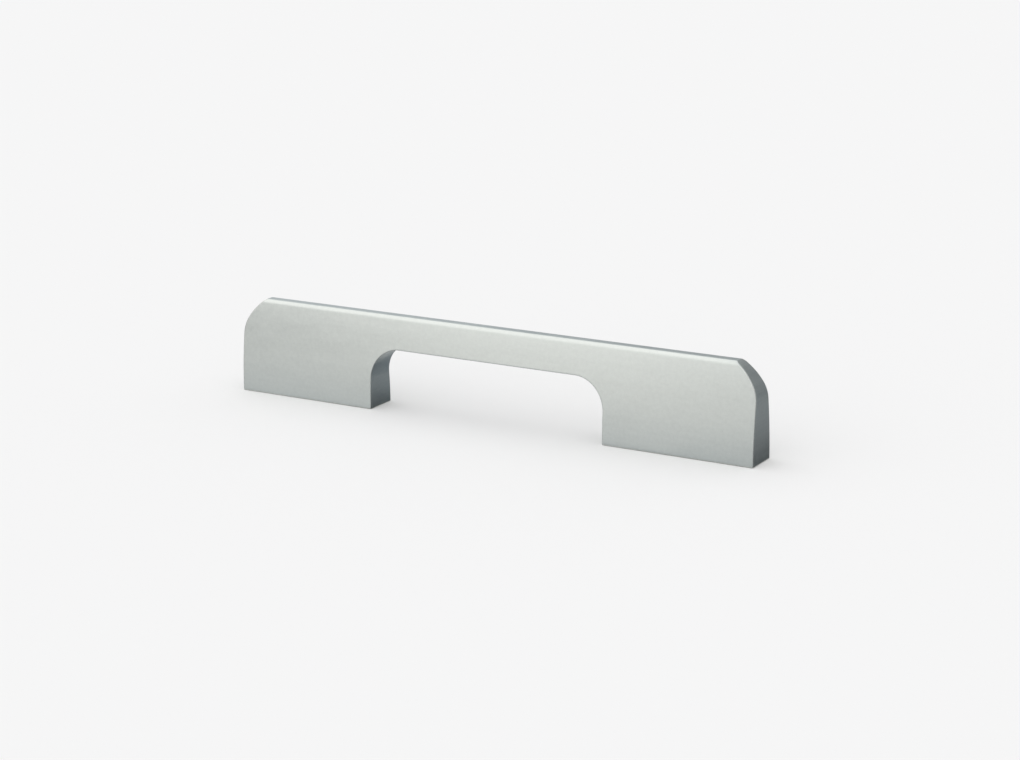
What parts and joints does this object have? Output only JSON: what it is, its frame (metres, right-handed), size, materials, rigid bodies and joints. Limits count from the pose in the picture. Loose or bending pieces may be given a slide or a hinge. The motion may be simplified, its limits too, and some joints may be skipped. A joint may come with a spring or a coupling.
{
  "type": "furniture handle",
  "caption": "Straight furniture handle cut from solid aluminium bar, with convex flanks tapering to a narrow top, a finger window open at the base and tapped feet.",
  "frame": {"origin": "centre of the mounting plane, midway between the screw holes, on the flat base of the feet", "axes": "+X along the handle, +Z out from the furniture front through the bar to its narrow flat top, -Y towards the front flank of the picture"},
  "size_m": [0.1758, 0.0112, 0.0293],
  "materials": {
    "satin_aluminium": "fine bead-blasted, silver anodised, satin"
  },
  "bodies": {
    "root": {"handle": "satin_aluminium"}
  },
  "joints": []
}
